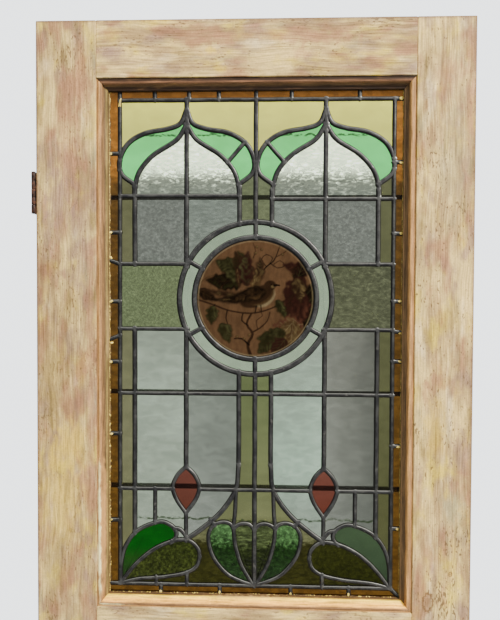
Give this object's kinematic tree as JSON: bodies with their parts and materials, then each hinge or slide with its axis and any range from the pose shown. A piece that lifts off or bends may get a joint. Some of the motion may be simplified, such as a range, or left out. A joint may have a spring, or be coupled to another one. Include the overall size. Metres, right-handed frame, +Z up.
{
  "type": "half-glazed door",
  "caption": "Half-glazed pine door hung on butt hinges, with a leaded light of coloured glass above a flat panel.",
  "frame": {"origin": "middle of the flat outer face of the upper hinge's frame leaf, where the door is fastened to its jamb", "axes": "+Z up; the front of the door faces -Y; the hinges are on the -X side and the door runs along +X when shut"},
  "size_m": [0.822, 0.0481, 2.032],
  "materials": {
    "stripped_pine": "stripped pine with pinkish traces of old paint",
    "moulding_pine": "warm brown pine, partly stripped",
    "lead": "dull grey oxidised lead",
    "bar_steel": "dark rusted steel",
    "hinge_iron": "dark brown rusted iron",
    "glass_top": "pale straw glass",
    "glass_ogee": "mint green glass",
    "glass_clear": "clear rolled glass with a rippled face",
    "glass_olive": "olive glass",
    "glass_square": "stippled sage glass",
    "glass_ring": "pale grey green glass",
    "glass_roundel": "glass painted with a bird among leaves on a copper brown ground",
    "glass_bud": "ruby glass",
    "glass_leaf_vivid": "vivid green glass",
    "glass_leaf_pale": "grey green glass",
    "glass_leaf_olive": "dark olive rippled glass",
    "glass_petal": "green rippled glass",
    "glass_ground": "brown amber rippled glass",
    "glass_border": "amber glass"
  },
  "bodies": {
    "jamb_leaves": {"hinge_lower_frame_leaf": "hinge_iron", "hinge_lower_pin": "hinge_iron", "hinge_upper_frame_leaf": "hinge_iron", "hinge_upper_pin": "hinge_iron"},
    "door": {"back_bead_bottom": "moulding_pine", "back_bead_left": "moulding_pine", "back_bead_right": "moulding_pine", "back_bead_top": "moulding_pine", "glass_border": "glass_border", "glass_bud_left": "glass_bud", "glass_bud_right": "glass_bud", "glass_clear_lower_left": "glass_clear", "glass_clear_lower_right": "glass_clear", "glass_clear_upper_left": "glass_clear", "glass_clear_upper_right": "glass_clear", "glass_ground_left": "glass_ground", "glass_ground_right": "glass_ground", "glass_leaf_lower_left": "glass_leaf_olive", "glass_leaf_lower_right": "glass_leaf_olive", "glass_leaf_upper_left": "glass_leaf_vivid", "glass_leaf_upper_right": "glass_leaf_pale", "glass_moulding_bottom": "moulding_pine", "glass_moulding_left": "moulding_pine", "glass_moulding_right": "moulding_pine", "glass_moulding_top": "moulding_pine", "glass_ogee_left_inner": "glass_ogee", "glass_ogee_left_outer": "glass_ogee", "glass_ogee_right_inner": "glass_ogee", "glass_ogee_right_outer": "glass_ogee", "glass_olive_middle_lower": "glass_olive", "glass_olive_middle_upper": "glass_olive", "glass_olive_side_lower_left": "glass_olive", "glass_olive_side_lower_right": "glass_olive", "glass_olive_side_upper_left": "glass_olive", "glass_olive_side_upper_right": "glass_olive", "glass_petals_left": "glass_petal", "glass_petals_right": "glass_petal", "glass_ring": "glass_ring", "glass_roundel": "glass_roundel", "glass_square_left": "glass_square", "glass_square_right": "glass_square", "glass_top_left": "glass_top", "glass_top_right": "glass_top", "hinge_lower_door_leaf": "hinge_iron", "hinge_upper_door_leaf": "hinge_iron", "lead_cames": "lead", "panel_lower": "stripped_pine", "panel_moulding_bottom": "moulding_pine", "panel_moulding_left": "moulding_pine", "panel_moulding_right": "moulding_pine", "panel_moulding_top": "moulding_pine", "rail_bottom": "stripped_pine", "rail_lock": "stripped_pine", "rail_top": "stripped_pine", "saddle_bar_lower": "bar_steel", "saddle_bar_middle": "bar_steel", "saddle_bar_upper": "bar_steel", "stile_hinge": "stripped_pine", "stile_lock": "stripped_pine"}
  },
  "joints": [
    {"name": "door_swing", "type": "hinge", "parent": "jamb_leaves", "child": "door", "pos_m": [0.00435, -0.01667, 0], "axis": [0, 0, -1], "range_deg": [0, 170]}
  ]
}
